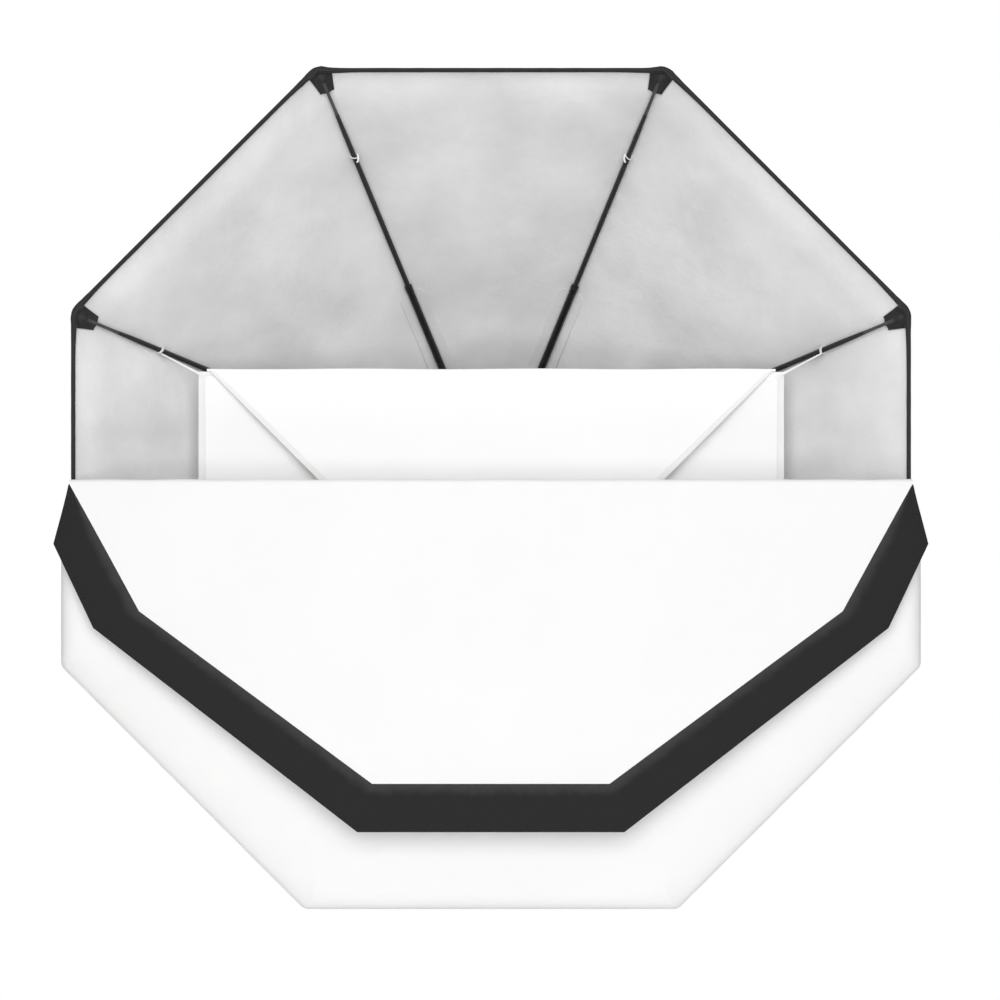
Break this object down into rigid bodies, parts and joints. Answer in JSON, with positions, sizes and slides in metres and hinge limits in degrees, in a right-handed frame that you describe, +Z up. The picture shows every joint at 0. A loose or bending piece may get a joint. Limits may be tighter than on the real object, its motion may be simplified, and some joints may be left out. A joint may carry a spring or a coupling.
{
  "type": "studio softbox",
  "caption": "Octagonal softbox with silver-lined black shell on curved rods, ring mount, inner baffle and front diffuser, their upper halves released and folded down.",
  "frame": {"origin": "centre of the mount ring's rear seat, on the softbox's axis", "axes": "+Y along the axis out of the back towards the lamp head, the open front faces -Y, +Z up"},
  "size_m": [0.932, 0.4271, 0.9057],
  "materials": {
    "ring_steel": "zinc-plated pressed steel",
    "cast_alloy": "black powder coat on cast alloy",
    "knob_plastic": "moulded nylon, matt",
    "fibreglass": "dark fibreglass rod, satin",
    "tube_steel": "black enamelled steel tube",
    "shell_cloth": "black nylon outside, pebbled silver lining inside",
    "black_webbing": "black woven tape and heavy nylon",
    "hook_tape": "black hook-and-loop tape",
    "white_cloth": "translucent white diffusion nylon",
    "white_elastic": "white woven elastic"
  },
  "bodies": {
    "mount": {"mount_ring": "ring_steel", "keeper_ring": "cast_alloy", "keeper_screw_1": "ring_steel", "keeper_screw_2": "ring_steel", "keeper_screw_3": "ring_steel", "keeper_screw_4": "ring_steel"},
    "box": {"swivel_ring": "cast_alloy", "rod_1": "fibreglass", "rod_2": "fibreglass", "rod_3": "fibreglass", "rod_4": "fibreglass", "rod_5": "fibreglass", "rod_6": "fibreglass", "rod_7": "fibreglass", "rod_8": "fibreglass", "rod_tube_1": "tube_steel", "rod_tube_2": "tube_steel", "rod_tube_3": "tube_steel", "rod_tube_4": "tube_steel", "rod_tube_5": "tube_steel", "rod_tube_6": "tube_steel", "rod_tube_7": "tube_steel", "rod_tube_8": "tube_steel", "shell_panel_1": "shell_cloth", "shell_panel_2": "shell_cloth", "shell_panel_3": "shell_cloth", "shell_panel_4": "shell_cloth", "shell_panel_5": "shell_cloth", "shell_panel_6": "shell_cloth", "shell_panel_7": "shell_cloth", "shell_panel_8": "shell_cloth", "corner_pocket_1": "black_webbing", "corner_pocket_2": "black_webbing", "corner_pocket_3": "black_webbing", "corner_pocket_4": "black_webbing", "corner_pocket_5": "black_webbing", "corner_pocket_6": "black_webbing", "corner_pocket_7": "black_webbing", "corner_pocket_8": "black_webbing", "rear_collar": "black_webbing", "rim_binding": "black_webbing", "loop_strip": "hook_tape", "baffle_lower": "white_cloth", "baffle_tie_1": "white_elastic", "baffle_tie_2": "white_elastic", "baffle_tie_3": "white_elastic", "baffle_tie_4": "white_elastic", "baffle_tie_5": "white_elastic", "baffle_tie_6": "white_elastic", "baffle_tie_7": "white_elastic", "baffle_tie_8": "white_elastic", "front_cover": "white_cloth", "cover_band": "white_cloth", "hook_strip": "hook_tape"},
    "lock": {"lock_knob": "knob_plastic", "lock_screw": "ring_steel"},
    "inner_flap": {"baffle_flap": "white_cloth"},
    "front_flap": {"diffuser_flap": "white_cloth"},
    "flap_hem": {"flap_band": "hook_tape"}
  },
  "joints": [
    {"name": "box_swivel", "type": "hinge", "parent": "mount", "child": "box", "pos_m": [0, 0, 0], "axis": [0, 1, 0], "continuous": true},
    {"name": "lock_turn", "type": "hinge", "parent": "box", "child": "lock", "pos_m": [0, -0.0135, 0], "axis": [0, 0, -1], "range_deg": [-720, 0]},
    {"name": "baffle_fold", "type": "hinge", "parent": "box", "child": "inner_flap", "pos_m": [0, -0.27309, 0.129], "axis": [-1, 0, 0], "range_deg": [0, 174]},
    {"name": "front_fold", "type": "hinge", "parent": "box", "child": "front_flap", "pos_m": [0, -0.382, 0.002], "axis": [-1, 0, 0], "range_deg": [0, 175]},
    {"name": "hem_stretch", "type": "slide", "parent": "front_flap", "child": "flap_hem", "axis": [0, -0.0872, -0.9962], "range_m": [0, 0.084]}
  ],
  "couplings": [
    {"joint": "hem_stretch", "follows": "front_fold", "m_per_rad": 0.0275}
  ]
}
